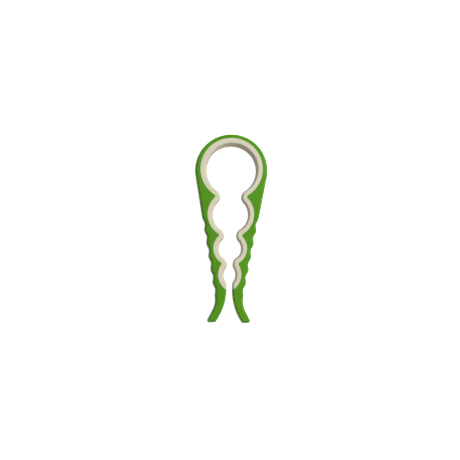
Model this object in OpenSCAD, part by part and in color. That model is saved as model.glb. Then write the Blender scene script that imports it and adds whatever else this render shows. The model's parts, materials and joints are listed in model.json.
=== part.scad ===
// Squeeze opener for jar and bottle lids, in millimetres.
// A hard keyhole-shaped frame has a thin springy bow at the top and two arms that
// end in flared feet. A soft liner runs round its inside, and forms a big ring and
// three smaller jaws. Squeezing the arms closes the liner on a lid.
// The opener lies on its back face at z = 0, with its bow towards +Y, and the
// origin is at the middle of that face. Outlines are drawn with the centre of the
// ring at [0, 0] and moved there at the end. The frame and the liner are each one
// moulding, divided at the two places where the bow flexes.

/* [Body] */
// Thickness from the back face to the front face
body_depth = 18; // [12:0.5:24]

/* [Jaws] */
// Width of the frame's opening round the big ring, before the liner fills its edge
ring_wall_d = 74; // [66:0.2:86]
// Bore of the second jaw
second_jaw_d = 41.4; // [36:0.2:48]
// Bore of the third jaw
third_jaw_d = 26.2; // [23:0.2:31]
// Widest opening of the narrow jaw
narrow_jaw_w = 13.8; // [12:0.2:16.6]
// Curve radius of each wall of the narrow jaw
narrow_jaw_r = 14.3; // [12.3:0.2:16.9]
// Clear gap between the noses above the second jaw
first_neck_gap = 24.4; // [20.6:0.2:29]
// Clear gap between the noses above the third jaw
second_neck_gap = 14; // [12:0.2:16.6]
// Clear gap between the noses above the narrow jaw
third_neck_gap = 6.6; // [5.6:0.2:7.8]

/* [Liner] */
// Thickness of the liner at its noses and in the three smaller jaws
liner_t = 6.8; // [5.8:0.1:7.8]
// Thickness of the liner at the very top of the ring, from where it thins downwards
crown_liner_t = 9.1; // [8.1:0.1:10.3]
// Height of the rib that keys the liner into the frame
rib_h = 6; // [4:0.5:8]
// Depth of that rib in the frame's wall
rib_depth = 1.2; // [0.8:0.1:1.5]

/* [Frame] */
// Thickness of the bow at the very top
bow_t = 5.4; // [4.6:0.1:6]
// Thickness of the frame beside the ring
side_t = 6.3; // [5.8:0.1:7.2]
// Rounding of the frame's teeth, which back the noses of the liner
tooth_r = 2.4; // [1.9:0.1:2.8]

/* [Finger scallops] */
// Scallops along the outside of each arm
scallop_count = 6; // [3:1:7]
// Distance from crest to crest
scallop_pitch = 15.75; // [13:0.01:19]
// Depth from crest to valley
scallop_depth = 1.8; // [1:0.1:2]

/* [Feet] */
// Clear gap between the feet where they are closest
foot_gap = 6.8; // [5.8:0.2:8]
// Distance from the middle of the narrow jaw down to the last crest
waist_drop = 25.5; // [24:0.5:32]
// Width of a foot at its last crest
waist_w = 13.7; // [12:0.1:15.4]
// Distance from the last crest down to the tips of the feet
foot_drop = 30.9; // [27:0.1:35]
// Distance that the gap between the feet begins to widen above the last crest
flare_rise = 8.5; // [6:0.5:9]
// Radius that the outside of a foot bends outwards with
outer_flare_r = 25.5; // [22:0.5:31]
// Angle from the centre line at which the outside of a foot ends
foot_splay = 27; // [23:0.5:31]
// Radius that the inside of a foot bends outwards with
inner_flare_r = 69.5; // [60:0.5:80]
// Rounding of the outer corner of a foot's tip
outer_tip_r = 2.6; // [2:0.1:3.2]
// Rounding of the inner corner of a foot's tip
inner_tip_r = 3; // [2:0.1:3.8]

/* [Flexure] */
// Angle from the top of the bow to each place where it flexes
flex_angle = 40; // [30:1:50]
// Width of the slit that divides the bow from an arm there
flex_slit = 0.3; // [0.2:0.05:0.4]

/* [Hidden] */

left = -1;
right = 1;
round_steps = 96;      // fragments in a full circle
arc_step = 2.5;        // degrees between the points of an outline's arc
wave_steps = 12;       // points along one scallop
reach = 300;           // longer than the opener, for cutting shapes
fillet_lap = 0.05;     // how far a tooth's rounding laps over the jaws beside it

// Radii of the frame's walls behind the liner
ring_r = ring_wall_d / 2;
second_r = second_jaw_d / 2 + liner_t;
third_r = third_jaw_d / 2 + liner_t;
narrow_r = narrow_jaw_r + liner_t;
// The walls of the narrow jaw curve about points past the centre line
narrow_offset = narrow_jaw_r - narrow_jaw_w / 2;

// Distances of the teeth's rounding centres from the centre line
first_tooth_x = first_neck_gap / 2 + liner_t + tooth_r;
second_tooth_x = second_neck_gap / 2 + liner_t + tooth_r;
third_tooth_x = third_neck_gap / 2 + liner_t + tooth_r;

// Drop along Y between the centres of a jaw and of a tooth that touches it
function drop(jaw_r, across) = sqrt(pow(jaw_r + tooth_r, 2) - pow(across, 2));

// Heights of the teeth and of the jaws, down from the ring
first_tooth_y = -drop(ring_r, first_tooth_x);
second_y = first_tooth_y - drop(second_r, first_tooth_x);
second_tooth_y = second_y - drop(second_r, second_tooth_x);
third_y = second_tooth_y - drop(third_r, second_tooth_x);
third_tooth_y = third_y - drop(third_r, third_tooth_x);
narrow_y = third_tooth_y - drop(narrow_r, third_tooth_x + narrow_offset);
// Where the line from the third tooth to its wall's centre crosses the centre line
narrow_cross_y = third_tooth_y
    + (narrow_y - third_tooth_y) * third_tooth_x / (third_tooth_x + narrow_offset);

// The ring's bore touches the round noses below it, and its centre sits lower than
// the wall's, which thickens the liner towards the top
bore_reach = ring_r - crown_liner_t + tooth_r + liner_t;
bore_drop = (pow(ring_r + tooth_r, 2) - pow(bore_reach, 2))
    / (2 * (bore_reach - first_tooth_y));
bore_r = ring_r + bore_drop - crown_liner_t;

// Outside of the ring: its centre sits lower, which thins the bow at the top
outer_r = ring_r + side_t;
outer_y = bow_t - side_t;
top_y = outer_y + outer_r;

// Last crest of the scallops, where a foot begins
waist = [foot_gap / 2 + waist_w, narrow_y - waist_drop];
tip_y = waist.y - foot_drop;

// Each arm's outside is the tangent from the outside of the ring to the waist
waist_distance = norm(waist - [0, outer_y]);
arm_taper = atan2(outer_y - waist.y, waist.x) - acos(outer_r / waist_distance);
arm_down = [-sin(arm_taper), -cos(arm_taper)];
arm_out = [cos(arm_taper), -sin(arm_taper)];

// Foot: outside
outer_flare_c = waist + outer_flare_r * arm_out;
outer_bend_end = outer_flare_c - outer_flare_r * [cos(foot_splay), sin(foot_splay)];
outer_corner = [outer_bend_end.x + (outer_bend_end.y - tip_y) * tan(foot_splay), tip_y];
// Foot: inside
inner_flare_c = [foot_gap / 2 + inner_flare_r, waist.y + flare_rise];
inner_splay = asin((inner_flare_c.y - tip_y) / inner_flare_r);
inner_corner = [inner_flare_c.x - inner_flare_r * cos(inner_splay), tip_y];

function arc_points(c, r, a0, a1) =
    let (n = ceil(abs(a1 - a0) / arc_step))
    [for (i = [0:n]) c + r * [cos(a0 + (a1 - a0) * i / n), sin(a0 + (a1 - a0) * i / n)]];

// Rounding of radius r at corner q, on the way from p to s
function corner_points(p, q, s, r) =
    let (u = (p - q) / norm(p - q),
         v = (s - q) / norm(s - q),
         half = acos(u * v) / 2,
         c = q + (u + v) / norm(u + v) * r / sin(half),
         t0 = q + u * r / tan(half) - c,
         t1 = q + v * r / tan(half) - c,
         a0 = atan2(t0.y, t0.x),
         turn = atan2(t0.x * t1.y - t0.y * t1.x, t0 * t1))
    arc_points(c, r, a0, a0 + turn);

// Point at s along an arm's scallops, counted up from the waist
function scallop_point(s) =
    waist - s * arm_down - scallop_depth * (1 - cos(360 * s / scallop_pitch)) / 2 * arm_out;

scallop_points = [for (i = [scallop_count * wave_steps - 1:-1:1])
    scallop_point(i * scallop_pitch / wave_steps)];

// Right half of the blank that the jaws are cut from, clockwise from the top
right_half = concat(
    arc_points([0, outer_y], outer_r, 90, -arm_taper),
    [scallop_point(scallop_count * scallop_pitch)],
    scallop_points,
    arc_points(outer_flare_c, outer_flare_r, 180 - arm_taper, 180 + foot_splay),
    corner_points(outer_bend_end, outer_corner, inner_corner, outer_tip_r),
    corner_points(outer_corner, inner_corner,
                  inner_corner + [-sin(inner_splay), cos(inner_splay)], inner_tip_r),
    [for (p = arc_points(inner_flare_c, inner_flare_r, 180 + inner_splay, 180))
        if (p.y > tip_y + inner_tip_r) p],
    [[foot_gap / 2, narrow_y]]);
left_half = [for (i = [len(right_half) - 1:-1:1]) [-right_half[i].x, right_half[i].y]];

module disc(r, y) translate([0, y]) circle(r, $fn = round_steps);

// Throat between two jaws, with the rounded teeth on its two sides
module throat(y0, tooth_x, tooth_y, y1, r)
    difference() {
        polygon([[0, y0], [tooth_x, tooth_y], [0, y1], [-tooth_x, tooth_y]]);
        for (side = [left, right])
            translate([side * tooth_x, tooth_y]) circle(r + fillet_lap, $fn = round_steps);
    }

// The jaws and their throats, with the frame's walls moved in by the given amount
// below the ring, and with a circle of its own for the ring
module grip_space(inset, ring_space_r, ring_space_y) {
    disc(ring_space_r, ring_space_y);
    throat(ring_space_y, first_tooth_x, first_tooth_y, second_y, tooth_r + inset);
    disc(second_r - inset, second_y);
    throat(second_y, second_tooth_x, second_tooth_y, third_y, tooth_r + inset);
    disc(third_r - inset, third_y);
    throat(third_y, third_tooth_x, third_tooth_y, narrow_cross_y, tooth_r + inset);
    intersection() {
        translate([-narrow_offset, narrow_y]) circle(narrow_r - inset, $fn = round_steps);
        translate([narrow_offset, narrow_y]) circle(narrow_r - inset, $fn = round_steps);
    }
}

module wall_space(groove) grip_space(-groove, ring_r + groove, 0);

module bore_space() grip_space(liner_t, bore_r, -bore_drop);

module foot_slot()
    translate([-foot_gap / 2, narrow_y - reach]) square([foot_gap, reach]);

module half_plane(side)
    translate([side > 0 ? 0 : -reach, -reach]) square([reach, 2 * reach]);

module bow_sector()
    polygon([[0, 0], reach * [sin(flex_angle), cos(flex_angle)], [0, 2 * reach],
             reach * [-sin(flex_angle), cos(flex_angle)]]);

module flex_slits()
    for (side = [left, right])
        rotate(-side * flex_angle)
            translate([-flex_slit / 2, 0]) square([flex_slit, reach]);

// The bow's or one arm's share of an outline
module bow_share()
    difference() {
        intersection() {
            children();
            bow_sector();
        }
        flex_slits();
    }

module arm_share(side)
    difference() {
        intersection() {
            children();
            half_plane(side);
        }
        bow_sector();
        flex_slits();
    }

module to_origin() translate([0, -(top_y + tip_y) / 2, 0]) children();

module rib_level() translate([0, 0, (body_depth - rib_h) / 2]) children();

module frame_colour() color([0.35, 0.57, 0.14]) children();

module liner_colour() color([0.84, 0.82, 0.73]) children();

module frame_outline()
    difference() {
        polygon(concat(right_half, left_half));
        wall_space(0);
    }

module liner_outline(groove)
    difference() {
        wall_space(groove);
        bore_space();
        foot_slot();
    }

module frame_bow()
    frame_colour() to_origin() difference() {
        linear_extrude(body_depth) bow_share() frame_outline();
        rib_level() linear_extrude(rib_h) wall_space(rib_depth);
    }

module frame_arm(side)
    frame_colour() to_origin() difference() {
        linear_extrude(body_depth) arm_share(side) frame_outline();
        rib_level() linear_extrude(rib_h) wall_space(rib_depth);
    }

module liner_bow()
    liner_colour() to_origin() {
        linear_extrude(body_depth) bow_share() liner_outline(0);
        rib_level() linear_extrude(rib_h) bow_share() liner_outline(rib_depth);
    }

module liner_arm(side)
    liner_colour() to_origin() {
        linear_extrude(body_depth) arm_share(side) liner_outline(0);
        rib_level() linear_extrude(rib_h) arm_share(side) liner_outline(rib_depth);
    }

frame_bow();
frame_arm(left);  // frame_left_arm
frame_arm(right);  // frame_right_arm
liner_bow();
liner_arm(left);  // liner_left_arm
liner_arm(right);  // liner_right_arm
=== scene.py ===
"""Looks for the squeeze opener: a green frame moulding and a cream rubber liner.

Both are built as closed meshes from the same jaws, teeth, scallops and feet as the
CAD model, with rounded edges. Each is made in a left and a right half that meet at
the top of the bow.
"""

import json
import math

import bmesh
import bpy
import numpy as np
from mathutils import Matrix, Vector


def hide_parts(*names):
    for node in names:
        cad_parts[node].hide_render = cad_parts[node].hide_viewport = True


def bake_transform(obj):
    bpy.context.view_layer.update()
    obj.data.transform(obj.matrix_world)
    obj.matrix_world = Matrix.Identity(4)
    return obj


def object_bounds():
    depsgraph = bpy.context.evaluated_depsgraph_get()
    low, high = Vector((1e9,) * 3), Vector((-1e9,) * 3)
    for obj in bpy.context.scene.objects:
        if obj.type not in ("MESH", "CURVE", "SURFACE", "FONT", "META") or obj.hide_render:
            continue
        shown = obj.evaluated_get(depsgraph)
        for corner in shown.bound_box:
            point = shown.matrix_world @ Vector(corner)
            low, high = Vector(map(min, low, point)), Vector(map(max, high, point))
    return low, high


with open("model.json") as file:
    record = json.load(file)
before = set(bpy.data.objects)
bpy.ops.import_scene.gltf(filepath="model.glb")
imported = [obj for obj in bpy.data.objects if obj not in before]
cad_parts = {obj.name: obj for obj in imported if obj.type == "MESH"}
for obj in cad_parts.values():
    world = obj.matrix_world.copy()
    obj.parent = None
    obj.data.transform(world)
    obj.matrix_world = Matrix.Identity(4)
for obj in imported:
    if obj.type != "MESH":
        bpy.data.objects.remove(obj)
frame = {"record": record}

CAD_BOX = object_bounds()
MM = 0.001

# ---------------------------------------------------------------- sizes, in metres

MOUNTS = {m["name"]: m for m in frame["record"]["mounts"]}
RING, SECOND, THIRD = (MOUNTS[name] for name in ("ring", "second_jaw", "third_jaw"))

LINER_T = 6.8 * MM
CROWN_LINER_T = 9.1 * MM
TOOTH_R = 2.4 * MM
NARROW_R = 14.3 * MM
NARROW_W = 13.8 * MM
THIRD_NECK = 6.6 * MM
SIDE_T = 6.3 * MM
FOOT_GAP = 6.8 * MM
WAIST_DROP = 25.5 * MM
WAIST_W = 13.7 * MM
FLARE_RISE = 8.5 * MM
OUTER_FLARE_R = 25.5 * MM
INNER_FLARE_R = 69.5 * MM
FOOT_SPLAY = math.radians(27)
OUTER_TIP_R = 2.6 * MM
INNER_TIP_R = 3 * MM
SCALLOPS = 6
SCALLOP_PITCH = 15.75 * MM
SCALLOP_DEPTH = 1.8 * MM

EDGE_R = 1.5 * MM           # rounding of the exposed edges, other than the grip's
GRIP_R = 2.4 * MM           # the frame's rounding where the hand holds it
GRIP_START = 8 * MM         # height above the foot's tip where it begins to grow
GRIP_BLEND = 12 * MM        # and the height over which it does
EDGE_STEPS = 8              # strips round that rounding
EDGE_SUPPORT = 0.15 * MM    # flat strip inside it, which keeps the face's shading flat
DRAFT = 0.9 * MM            # how far a side wall leans in from the parting line
LINER_DRAFT = 1.3 * MM      # the same for the liner, away from the foot gap
CROWN_DRAFT = 0.8           # extra lean, as a share of the ring liner's extra thickness
PARTING_H = 0.04 * MM       # height of the parting line's ridge
PARTING_W = 0.15 * MM       # its half width
LINER_END_R = 2.5 * MM      # rounding where the narrow jaw turns into the foot gap
SEAM = 0.15 * MM            # chamfer of both mouldings where they meet on a face
SHARP_ANGLE = math.radians(32)  # faces that turn more than this meet in a crease
STEP = 0.7 * MM             # spacing of points along a curve
LONG_STEP = 2.5 * MM        # spacing of points along a straight line
SAME_POINT = 0.01 * MM      # points closer than this are one
FLOOR_GAP = 0.2 * MM        # the floor lies this far under the opener


def at(x, y):
    return np.array([x, y], float)


def unit(angle):
    return at(math.cos(angle), math.sin(angle))


def bearing(a, b):
    return math.atan2(b[1] - a[1], b[0] - a[0])


def jaw(mount):
    """Centre of a jaw, and the radius of the frame's wall behind its liner."""
    return at(*mount["pos_m"][:2]), mount["dims"]["r_mm"] * MM + LINER_T


def tooth_between(first, second):
    """Centre of the rounding that touches two jaws' walls, on the right side."""
    (a, ra), (b, rb) = first, second
    ra, rb = ra + TOOTH_R, rb + TOOTH_R
    gap = np.linalg.norm(b - a)
    along = (ra**2 - rb**2 + gap**2) / (2 * gap)
    across = math.sqrt(ra**2 - along**2)
    forward = (b - a) / gap
    return a + along * forward + across * at(-forward[1], forward[0])


# The outside follows from the CAD box: its width, its top and the feet's tips
outer_r = CAD_BOX[1].x
outer_c = at(0, CAD_BOX[1].y - outer_r)
tip_y = CAD_BOX[0].y
depth = CAD_BOX[1].z - CAD_BOX[0].z
mid_z = (CAD_BOX[1].z + CAD_BOX[0].z) / 2

# The ring's bore is given, and its wall is the circle that the crown's liner backs
bore = at(*RING["pos_m"][:2]), RING["dims"]["r_mm"] * MM
ring_r = outer_r - SIDE_T
ring = at(0, bore[0][1] + bore[1] + CROWN_LINER_T - ring_r), ring_r
second, third = jaw(SECOND), jaw(THIRD)
first_tooth = tooth_between(ring, second)
second_tooth = tooth_between(second, third)

third_tooth_x = THIRD_NECK / 2 + LINER_T + TOOTH_R
third_tooth = at(third_tooth_x,
                 third[0][1] - math.sqrt((third[1] + TOOTH_R) ** 2 - third_tooth_x**2))
narrow_wall_r = NARROW_R + LINER_T
narrow_offset = NARROW_R - NARROW_W / 2
narrow_y = third_tooth[1] - math.sqrt(
    (narrow_wall_r + TOOTH_R) ** 2 - (third_tooth_x + narrow_offset) ** 2)
narrow = (at(-narrow_offset, narrow_y), narrow_wall_r)

JAWS = [second, third, narrow]
TEETH = [first_tooth, second_tooth, third_tooth]

waist = at(FOOT_GAP / 2 + WAIST_W, narrow_y - WAIST_DROP)
arm_taper = math.pi / 2 - bearing(waist, outer_c) + math.asin(
    outer_r / np.linalg.norm(waist - outer_c))
arm_out = unit(-arm_taper)
arm_down = at(-math.sin(arm_taper), -math.cos(arm_taper))


# ---------------------------------------------------------------- outlines

def arc(c, r, a0, a1):
    n = max(3, math.ceil(abs(a1 - a0) * r / STEP))
    return [c + r * unit(a0 + (a1 - a0) * i / n) for i in range(n + 1)]


def line(p, q):
    n = max(1, math.ceil(np.linalg.norm(q - p) / LONG_STEP))
    return [p + (q - p) * i / n for i in range(n + 1)]


def rounded_corner(p, q, s, r):
    """Rounding of radius r at corner q, on the way from p to s."""
    u, v = (p - q) / np.linalg.norm(p - q), (s - q) / np.linalg.norm(s - q)
    half = math.acos(u @ v) / 2
    c = q + (u + v) / np.linalg.norm(u + v) * r / math.sin(half)
    t0, t1 = q + u * r / math.tan(half) - c, q + v * r / math.tan(half) - c
    turn = math.atan2(t0[0] * t1[1] - t0[1] * t1[0], t0 @ t1)
    a0 = math.atan2(t0[1], t0[0])
    return arc(c, r, a0, a0 + turn)


def joined(*stretches):
    """One list of points, without the doubled ones where stretches meet."""
    points = []
    for p in (p for stretch in stretches for p in stretch):
        if not points or np.linalg.norm(p - points[-1]) > SAME_POINT:
            points.append(p)
    return points


def jaw_line(inset, top, narrow_end):
    """The right side of the jaws, moved in by inset. It starts on the circle top and
    ends on the narrow jaw's wall, at the bearing narrow_end from its centre."""
    circles = [top] + [(c, r - inset) for c, r in JAWS]
    stretches, start = [], math.pi / 2
    for (c, r), tooth, (below, _) in zip(circles, TEETH, circles[1:]):
        stretches.append(arc(c, r, start, bearing(c, tooth)))
        a0, a1 = bearing(tooth, c), bearing(tooth, below)
        stretches.append(arc(tooth, TOOTH_R + inset, a0, a1 % (2 * math.pi)))
        start = bearing(below, tooth)
    stretches.append(arc(*circles[-1], start, narrow_end))
    return joined(*stretches)


def seam_point(x):
    """Where the frame and the liner meet near the foot gap, at that x."""
    return at(x, narrow_y - math.sqrt(narrow[1] ** 2 - (x + narrow_offset) ** 2))


def seam_line(x_end):
    """Where the frame and the liner meet on a face, down to x_end at the foot gap."""
    return jaw_line(0, ring, bearing(narrow[0], seam_point(x_end)))


def liner_line():
    """The liner's exposed side, down to where the straight foot gap begins."""
    r = narrow[1] - LINER_T + LINER_END_R
    across = FOOT_GAP / 2 + LINER_END_R + narrow_offset
    c = at(FOOT_GAP / 2 + LINER_END_R, narrow_y - math.sqrt(r**2 - across**2))
    return joined(jaw_line(LINER_T, bore, bearing(narrow[0], c)),
                  arc(c, LINER_END_R, bearing(c, narrow[0]), math.pi))


def liner_lean(p):
    """How far the liner's wall leans in: its face keeps its width where it is thick."""
    thickness = ring[1] - np.linalg.norm(p - ring[0])
    extra = thickness - LINER_T if p[1] > first_tooth[1] else 0
    above_end = min(1, (p[1] - (narrow_y - NARROW_R)) / (NARROW_R / 2))
    return DRAFT + (LINER_DRAFT - DRAFT) * max(0, above_end) + CROWN_DRAFT * max(0, extra)


def scallop_point(s):
    dip = SCALLOP_DEPTH * (1 - math.cos(2 * math.pi * s / SCALLOP_PITCH)) / 2
    return waist - s * arm_down - dip * arm_out


def frame_line():
    """The frame's exposed side: the outside of the bow and the arm, round the foot
    and up to where the foot gap is straight. Also gives the index of the tip."""
    flare_c = waist + OUTER_FLARE_R * arm_out
    bend_end = flare_c - OUTER_FLARE_R * unit(FOOT_SPLAY)
    outer_corner = at(bend_end[0] + (bend_end[1] - tip_y) * math.tan(FOOT_SPLAY), tip_y)
    inner_c = at(FOOT_GAP / 2 + INNER_FLARE_R, waist[1] + FLARE_RISE)
    splay = math.asin((inner_c[1] - tip_y) / INNER_FLARE_R)
    inner_corner = at(inner_c[0] - INNER_FLARE_R * math.cos(splay), tip_y)
    wave_top = SCALLOPS * SCALLOP_PITCH
    wave_n = round(wave_top / STEP)
    outer_tip = rounded_corner(bend_end, outer_corner, inner_corner, OUTER_TIP_R)
    inner_tip = rounded_corner(outer_corner, inner_corner,
                               inner_corner + at(-math.sin(splay), math.cos(splay)),
                               INNER_TIP_R)
    inner_side = [p for p in arc(inner_c, INNER_FLARE_R, math.pi + splay, math.pi)
                  if p[1] > inner_tip[-1][1]]
    down = joined(
        arc(outer_c, outer_r, math.pi / 2, -arm_taper),
        line(outer_c + outer_r * arm_out, scallop_point(wave_top)),
        [scallop_point(wave_top * (1 - i / wave_n)) for i in range(wave_n + 1)],
        arc(flare_c, OUTER_FLARE_R, math.pi - arm_taper, math.pi + FOOT_SPLAY),
        line(bend_end, outer_tip[0]),
        outer_tip)
    up = joined(inner_tip, inner_side)
    return joined(down, up), len(down) - 1


def frame_radii(outline, tip):
    """How round the frame's edge is at each point: more along the outside, where the
    hand holds it, than round the foot and up its inner side."""
    radii = []
    for i, p in enumerate(outline):
        above_foot = (p[1] - tip_y - GRIP_START) / GRIP_BLEND if i < tip else 0
        radii.append(EDGE_R + (GRIP_R - EDGE_R) * min(1, max(0, above_foot)))
    return radii


# ---------------------------------------------------------------- meshes

def edge_rows():
    """Rows from the middle of the side wall to the flat face, over the rounded edge.

    Each is (inset, share of the edge radius added to it, height above the middle,
    share of the edge radius taken from it, wear).
    """
    rows = [(0.0, 0.0, 0.0, 0.0, 0.0), (PARTING_H, 0.0, PARTING_W, 0.0, 0.0)]
    for i in range(EDGE_STEPS + 1):
        turn = math.pi / 2 * i / EDGE_STEPS
        rows.append((PARTING_H, 1 - math.cos(turn), depth / 2, 1 - math.sin(turn),
                     math.sin(2 * turn)))
    rows.append((PARTING_H + EDGE_SUPPORT, 1.0, depth / 2, 0.0, 0.0))
    return rows


def inward(points, side):
    """Unit normals that point into the moulding, which is on that side of the path."""
    points = np.array(points)
    steps = np.diff(points, axis=0)
    steps /= np.linalg.norm(steps, axis=1)[:, None]
    steps = np.vstack([steps[:1], steps[:-1] + steps[1:], steps[-1:]])
    steps /= np.linalg.norm(steps, axis=1)[:, None]
    normals = side * np.c_[-steps[:, 1], steps[:, 0]]
    normals[0] = [0, math.copysign(1, normals[0][1])]
    normals[-1] = [1, 0]
    return normals


def zipped(a, b, where):
    """Triangles that fill the strip between two lines of vertices."""
    faces, i, j = [], 0, 0
    while i < len(a) - 1 or j < len(b) - 1:
        next_a = i < len(a) - 1 and (
            j == len(b) - 1
            or (where(a[i + 1]) - where(b[j])).length
            <= (where(a[i]) - where(b[j + 1])).length)
        corner = a[i + 1] if next_a else b[j + 1]
        triangle = (a[i], b[j], corner)
        if len(set(triangle)) == 3:
            faces.append(triangle)
        i, j = (i + 1, j) if next_a else (i, j + 1)
    return faces


def moulding(name, exposed, leans, radii, side, hand, tip=None):
    """A closed mesh between an exposed side and the seam where frame meets liner.

    exposed runs from the top of the bow to the straight foot gap, and side is 1 if
    the moulding lies to its left. leans holds how far the wall leans in at each of
    its points, and radii how round its edges are there. hand is 1 for the right half
    and -1 for the left.
    tip is the point of exposed where a foot turns back up.
    """
    bm = bmesh.new()
    wear = bm.verts.layers.float.new("edge_wear")
    rows = [(-1, row) for row in edge_rows()[:0:-1]] + [(1, row) for row in edge_rows()]
    normals = inward(exposed, side)

    def vertex(p, height, worn=0.0):
        v = bm.verts.new((hand * p[0], p[1], mid_z + height))
        v[wear] = worn
        return v

    grid = []
    for face, (inset, wider, height, lower, worn) in rows:
        strip = []
        for p, n, lean, radius in zip(exposed, normals, leans, radii):
            up = height - lower * radius
            lean_here = lean * up / (depth / 2)
            strip.append(vertex(p + (inset + wider * radius + lean_here) * n,
                                face * up, worn))
        up = height - lower * EDGE_R
        gap_side = FOOT_GAP / 2 + inset + wider * EDGE_R + DRAFT * up / (depth / 2)
        strip.append(vertex(seam_point(gap_side), face * up, worn))
        grid.append(strip)
    for low, high in zip(grid, grid[1:]):
        for i in range(len(low) - 1):
            bm.faces.new((low[i], low[i + 1], high[i + 1], high[i]))

    # The flat faces, and the hidden wall along the seam. It ends where the last row does
    seam = seam_line(gap_side)[:-1]
    seams = []
    for row, height in ((grid[0], -depth / 2), (grid[-1], depth / 2)):
        back = [vertex(p, height) for p in seam]
        seams.append(back)
        if tip is None:
            a, b = row, back + [row[-1]]
        else:
            a, b = row[:tip + 1], back + row[:tip - 1:-1]
        for face in zipped(a, b, lambda v: v.co):
            bm.faces.new(face)
    low, high = (back + [row[-1]] for back, row in zip(seams, (grid[0], grid[-1])))
    for i in range(len(low) - 1):
        bm.faces.new((low[i], low[i + 1], high[i + 1], high[i]))
    ends = [row[-1] for row in grid]
    while len(ends) > 3:
        bm.faces.new((ends[0], ends[1], ends[-2], ends[-1]))
        ends = ends[1:-1]
    bm.faces.new(ends)

    # The cut at the top of the bow, where the two halves meet
    bm.faces.new([row[0] for row in grid] + [seams[1][0], seams[0][0]])

    seam_edges = [bm.edges.get((a, b)) for line_ in (low, high)
                  for a, b in zip(line_, line_[1:])]
    bmesh.ops.bevel(bm, geom=seam_edges, offset=SEAM, segments=1, affect="EDGES")
    bmesh.ops.recalc_face_normals(bm, faces=bm.faces)
    mesh = bpy.data.meshes.new(name)
    bm.to_mesh(mesh)
    bm.free()
    mesh.shade_smooth()
    mesh.set_sharp_from_angle(angle=SHARP_ANGLE)
    piece = bpy.data.objects.new(name, mesh)
    bpy.context.scene.collection.objects.link(piece)
    return piece


# ---------------------------------------------------------------- materials

class Surface:
    """A Principled material, with short ways to add and link its nodes."""

    def __init__(self, name):
        self.material = bpy.data.materials.new(name)
        self.material.use_nodes = True
        self.tree = self.material.node_tree
        self.shader = self.tree.nodes["Principled BSDF"]
        self.coords = self.tree.nodes.new("ShaderNodeTexCoord").outputs["Object"]

    def link(self, output, node, socket):
        self.tree.links.new(output, node.inputs[socket])

    def noise(self, scale, detail=3.0, stretch=(1, 1, 1), turn=0.0):
        """Noise with features about 1 / scale metres across."""
        mapping = self.tree.nodes.new("ShaderNodeMapping")
        mapping.inputs["Scale"].default_value = stretch
        mapping.inputs["Rotation"].default_value = (0, 0, turn)
        self.link(self.coords, mapping, "Vector")
        node = self.tree.nodes.new("ShaderNodeTexNoise")
        node.inputs["Scale"].default_value = scale
        node.inputs["Detail"].default_value = detail
        self.link(mapping.outputs["Vector"], node, "Vector")
        return node.outputs["Fac"]

    def ramp(self, value, low, high, out_low=0.0, out_high=1.0):
        node = self.tree.nodes.new("ShaderNodeMapRange")
        for socket, number in (("From Min", low), ("From Max", high),
                               ("To Min", out_low), ("To Max", out_high)):
            node.inputs[socket].default_value = number
        self.link(value, node, "Value")
        return node.outputs["Result"]

    def times(self, a, b):
        return self.math("MULTIPLY", a, b)

    def plus(self, a, b):
        return self.math("ADD", a, b)

    def math(self, operation, a, b):
        node = self.tree.nodes.new("ShaderNodeMath")
        node.operation = operation
        for i, value in enumerate((a, b)):
            if isinstance(value, (int, float)):
                node.inputs[i].default_value = value
            else:
                self.link(value, node, i)
        return node.outputs["Value"]

    def mix(self, factor, a, b):
        node = self.tree.nodes.new("ShaderNodeMix")
        node.data_type = "RGBA"
        self.link(factor, node, "Factor")
        for socket, value in (("A", a), ("B", b)):
            target = next(s for s in node.inputs if s.name == socket and s.type == "RGBA")
            if isinstance(value, tuple):
                target.default_value = value
            else:
                self.tree.links.new(value, target)
        return next(s for s in node.outputs if s.type == "RGBA")

    def attribute(self, name):
        node = self.tree.nodes.new("ShaderNodeAttribute")
        node.attribute_name = name
        return node.outputs["Fac"]

    def bump(self, height, distance, below=None):
        node = self.tree.nodes.new("ShaderNodeBump")
        node.inputs["Distance"].default_value = distance
        self.link(height, node, "Height")
        if below is not None:
            self.link(below, node, "Normal")
        return node.outputs["Normal"]


def colour(r, g, b):
    """An sRGB colour given from 0 to 255, as Blender's linear one."""
    def linear(c):
        c /= 255
        return c / 12.92 if c <= 0.04045 else ((c + 0.055) / 1.055) ** 2.4
    return (linear(r), linear(g), linear(b), 1.0)


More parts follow.
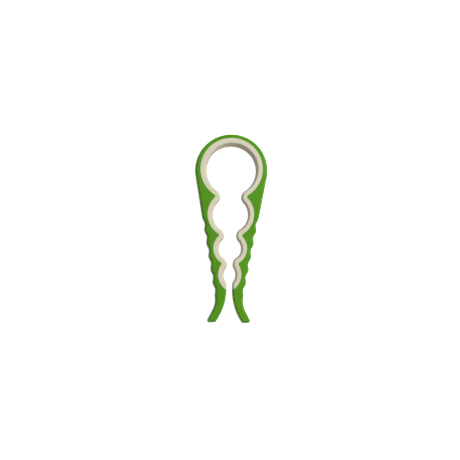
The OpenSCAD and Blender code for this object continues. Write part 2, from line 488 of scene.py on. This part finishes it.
def green_plastic():
    s = Surface("green_plastic")
    edge = s.attribute("edge_wear")
    # Slow drift of the pigment, streaks where the melt flowed along the arms, specks
    drift = s.ramp(s.noise(28), 0.3, 0.7)
    flow = s.ramp(s.noise(90, 4, (1, 0.12, 1)), 0.35, 0.65)
    speck = s.ramp(s.noise(2600, 1), 0.35, 0.65)
    base = s.mix(drift, colour(71, 133, 6), colour(80, 144, 8))
    base = s.mix(s.times(flow, 0.3), base, colour(89, 150, 12))
    base = s.mix(s.times(speck, 0.12), base, colour(58, 116, 5))
    # Handling leaves the rounded edges a little paler and duller in patches
    rubbed = s.times(edge, s.ramp(s.noise(420, 5), 0.5, 0.68))
    base = s.mix(s.times(rubbed, 0.4), base, colour(112, 164, 54))
    s.link(base, s.shader, "Base Color")
    scratch = s.plus(
        s.ramp(s.noise(900, 2, (1, 0.03, 1), 0.5), 0.66, 0.72),
        s.ramp(s.noise(900, 2, (0.03, 1, 1), 0.2), 0.67, 0.73))
    rough = s.plus(s.ramp(s.noise(160, 4), 0.3, 0.7, 0.36, 0.46), s.times(scratch, 0.12))
    rough = s.plus(rough, s.times(rubbed, 0.1))
    s.link(rough, s.shader, "Roughness")
    # Spark-eroded mould texture over a faint waviness of the faces
    normal = s.bump(s.noise(55, 2), 0.12 * MM)
    normal = s.bump(s.noise(2300, 2), 0.018 * MM, normal)
    normal = s.bump(s.math("SUBTRACT", 1.0, scratch), 0.006 * MM, normal)
    s.link(normal, s.shader, "Normal")
    s.shader.inputs["IOR"].default_value = 1.49
    s.shader.inputs["Specular IOR Level"].default_value = 0.13
    return s.material


def cream_rubber():
    s = Surface("cream_rubber")
    edge = s.attribute("edge_wear")
    drift = s.ramp(s.noise(35), 0.3, 0.7)
    cloud = s.ramp(s.noise(240, 5), 0.35, 0.65)
    speck = s.ramp(s.noise(1900, 2), 0.3, 0.7)
    base = s.mix(drift, colour(208, 202, 177), colour(203, 199, 176))
    base = s.mix(s.times(cloud, 0.3), base, colour(213, 203, 181))
    base = s.mix(s.times(speck, 0.16), base, colour(196, 190, 166))
    # Lids rub the rounded edges, which hold a little grey
    rubbed = s.times(edge, s.ramp(s.noise(330, 5), 0.52, 0.7))
    base = s.mix(s.times(rubbed, 0.3), base, colour(178, 172, 152))
    s.link(base, s.shader, "Base Color")
    rough = s.plus(s.ramp(s.noise(300, 4), 0.3, 0.7, 0.56, 0.68), s.times(rubbed, 0.06))
    s.link(rough, s.shader, "Roughness")
    normal = s.bump(s.noise(70, 2), 0.15 * MM)
    normal = s.bump(s.noise(1500, 3), 0.03 * MM, normal)
    s.link(normal, s.shader, "Normal")
    s.shader.inputs["IOR"].default_value = 1.47
    s.shader.inputs["Specular IOR Level"].default_value = 0.2
    s.shader.inputs["Subsurface Weight"].default_value = 0.12
    s.shader.inputs["Subsurface Radius"].default_value = (1.0, 0.8, 0.55)
    s.shader.inputs["Subsurface Scale"].default_value = 2.0 * MM
    return s.material


def floor_material():
    s = Surface("pale_floor")
    tone = s.ramp(s.noise(9, 3), 0.3, 0.7)
    s.link(s.mix(tone, (0.93, 0.93, 0.93, 1), (0.95, 0.95, 0.95, 1)), s.shader, "Base Color")
    s.shader.inputs["Roughness"].default_value = 0.9
    s.shader.inputs["Specular IOR Level"].default_value = 0.1
    s.shader.inputs["Emission Color"].default_value = (1, 1, 1, 1)
    s.shader.inputs["Emission Strength"].default_value = 0.75
    return s.material


# ---------------------------------------------------------------- the opener

def build_opener():
    green, cream = green_plastic(), cream_rubber()
    outline, tip = frame_line()
    inside = liner_line()
    upright = [DRAFT] * len(outline)
    rounded = frame_radii(outline, tip)
    leaning = [liner_lean(p) for p in inside]
    even = [EDGE_R] * len(inside)
    for hand, word in ((-1, "left"), (1, "right")):
        halves = (
            (moulding(f"frame_{word}_half", outline, upright, rounded, -1, hand, tip),
             green, "frame"),
            (moulding(f"liner_{word}_half", inside, leaning, even, 1, hand),
             cream, "liner"))
        for piece, material, part in halves:
            piece.data.materials.append(material)
            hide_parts(f"{part}_{word}_arm", f"{part}_bow")
            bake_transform(piece)


# ---------------------------------------------------------------- floor, light, camera

def build_stage():
    bpy.ops.mesh.primitive_plane_add(size=6, location=(0, 0, CAD_BOX[0].z - FLOOR_GAP))
    floor = bpy.context.object
    floor.name = "floor"
    floor.data.materials.append(floor_material())
    floor.visible_diffuse = False

    # A white studio above, and darker below the edge of the table
    world = bpy.data.worlds.new("studio")
    world.use_nodes = True
    tree = world.node_tree
    background = tree.nodes["Background"]
    coords = tree.nodes.new("ShaderNodeTexCoord")
    axes = tree.nodes.new("ShaderNodeSeparateXYZ")
    tone = tree.nodes.new("ShaderNodeMapRange")
    tree.links.new(coords.outputs["Generated"], axes.inputs["Vector"])
    tree.links.new(axes.outputs["Z"], tone.inputs["Value"])
    for socket, number in (("From Min", -0.4), ("From Max", 0.4),
                           ("To Min", 0.1), ("To Max", 0.3)):
        tone.inputs[socket].default_value = number
    tree.links.new(tone.outputs["Result"], background.inputs["Strength"])
    background.inputs["Color"].default_value = (1, 1, 1, 1)
    bpy.context.scene.world = world
    bpy.context.scene.view_settings.view_transform = "Standard"


def soft_light(name, place, size, power):
    lamp = bpy.data.lights.new(name, "AREA")
    lamp.size = size
    lamp.energy = power
    holder = bpy.data.objects.new(name, lamp)
    holder.location = place
    holder.rotation_mode = "QUATERNION"
    holder.rotation_quaternion = (-Vector(place)).to_track_quat("-Z", "Y")
    bpy.context.scene.collection.objects.link(holder)


def build_lights():
    soft_light("key", (1.05, 0.45, 1.1), 0.55, 20)
    soft_light("top", (0.1, 0.2, 1.6), 1.2, 7)


def build_camera():
    """Looks down on the opener, a little from its feet and from its left."""
    focal_px, frame_px, sensor = 975, 460, 36
    lean_left, lean_down = math.radians(2.2), math.radians(4.7)
    roll = math.radians(1.05)
    distance = 1.1586
    aim_left, aim_down = 0.37 * MM, 2.36 * MM

    back = Vector((-math.sin(lean_left),
                   -math.sin(lean_down) * math.cos(lean_left),
                   math.cos(lean_down) * math.cos(lean_left)))
    right = Vector((0, 1, 0)).cross(back).normalized()
    up = back.cross(right)
    right, up = (math.cos(roll) * right + math.sin(roll) * up,
                 math.cos(roll) * up - math.sin(roll) * right)
    camera = bpy.data.cameras.new("camera")
    camera.sensor_width = sensor
    camera.lens = focal_px / frame_px * sensor
    holder = bpy.data.objects.new("camera", camera)
    centre = Vector((0, 0, mid_z)) - aim_left * right - aim_down * up
    turn = Matrix((right, up, back)).transposed().to_4x4()
    holder.matrix_world = Matrix.Translation(centre + distance * back) @ turn
    bpy.context.scene.collection.objects.link(holder)
    bpy.context.scene.camera = holder


build_opener()
build_stage()
build_lights()
build_camera()
